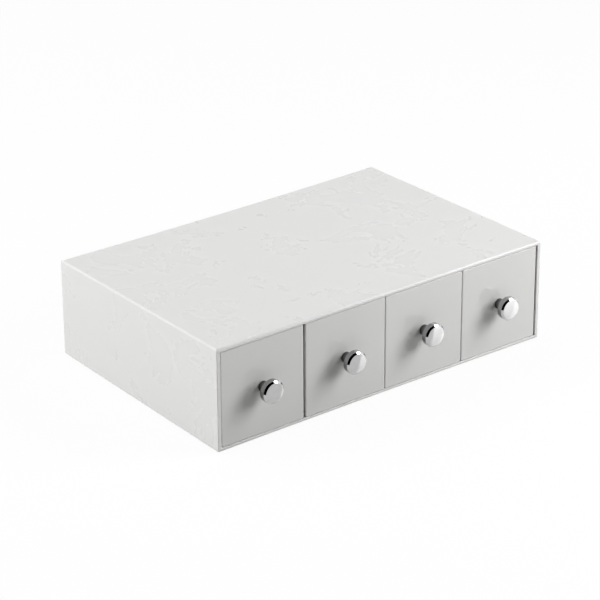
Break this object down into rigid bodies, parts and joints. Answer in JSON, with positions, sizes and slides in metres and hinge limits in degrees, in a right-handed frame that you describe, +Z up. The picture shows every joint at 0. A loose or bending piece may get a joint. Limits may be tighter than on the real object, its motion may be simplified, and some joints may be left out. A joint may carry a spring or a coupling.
{
  "type": "desktop drawer unit",
  "caption": "Low desktop drawer unit: one row of small side-by-side drawers in a plain moulded case, each pulled out by a round metal knob.",
  "frame": {"origin": "on the surface that the feet stand on, under the middle of the box round case and knobs", "axes": "+X along the row of fronts from drawer 1 to drawer 4, -Y the way the drawers open, +Z up"},
  "size_m": [0.27, 0.192, 0.0735],
  "materials": {
    "case_gloss": "polished moulding, pale warm grey",
    "divider_plastic": "fine satin moulding",
    "drawer_gloss": "polished moulding, pale warm grey",
    "knob_chrome": "polished chrome plate",
    "fastener_steel": "zinc plated steel",
    "foot_rubber": "matt rubber"
  },
  "bodies": {
    "case": {"case_shell": "case_gloss", "divider_1": "divider_plastic", "divider_2": "divider_plastic", "divider_3": "divider_plastic", "foot_front_left": "foot_rubber", "foot_front_right": "foot_rubber", "foot_back_left": "foot_rubber", "foot_back_right": "foot_rubber"},
    "drawer_1": {"drawer_tray_1": "drawer_gloss", "knob_1": "knob_chrome", "knob_screw_1": "fastener_steel", "knob_washer_1": "fastener_steel"},
    "drawer_2": {"drawer_tray_2": "drawer_gloss", "knob_2": "knob_chrome", "knob_screw_2": "fastener_steel", "knob_washer_2": "fastener_steel"},
    "drawer_3": {"drawer_tray_3": "drawer_gloss", "knob_3": "knob_chrome", "knob_screw_3": "fastener_steel", "knob_washer_3": "fastener_steel"},
    "drawer_4": {"drawer_tray_4": "drawer_gloss", "knob_4": "knob_chrome", "knob_screw_4": "fastener_steel", "knob_washer_4": "fastener_steel"}
  },
  "joints": [
    {"name": "drawer_1_slide", "type": "slide", "parent": "case", "child": "drawer_1", "axis": [0, -1, 0], "range_m": [0, 0.14]},
    {"name": "drawer_2_slide", "type": "slide", "parent": "case", "child": "drawer_2", "axis": [0, -1, 0], "range_m": [0, 0.14]},
    {"name": "drawer_3_slide", "type": "slide", "parent": "case", "child": "drawer_3", "axis": [0, -1, 0], "range_m": [0, 0.14]},
    {"name": "drawer_4_slide", "type": "slide", "parent": "case", "child": "drawer_4", "axis": [0, -1, 0], "range_m": [0, 0.14]}
  ]
}
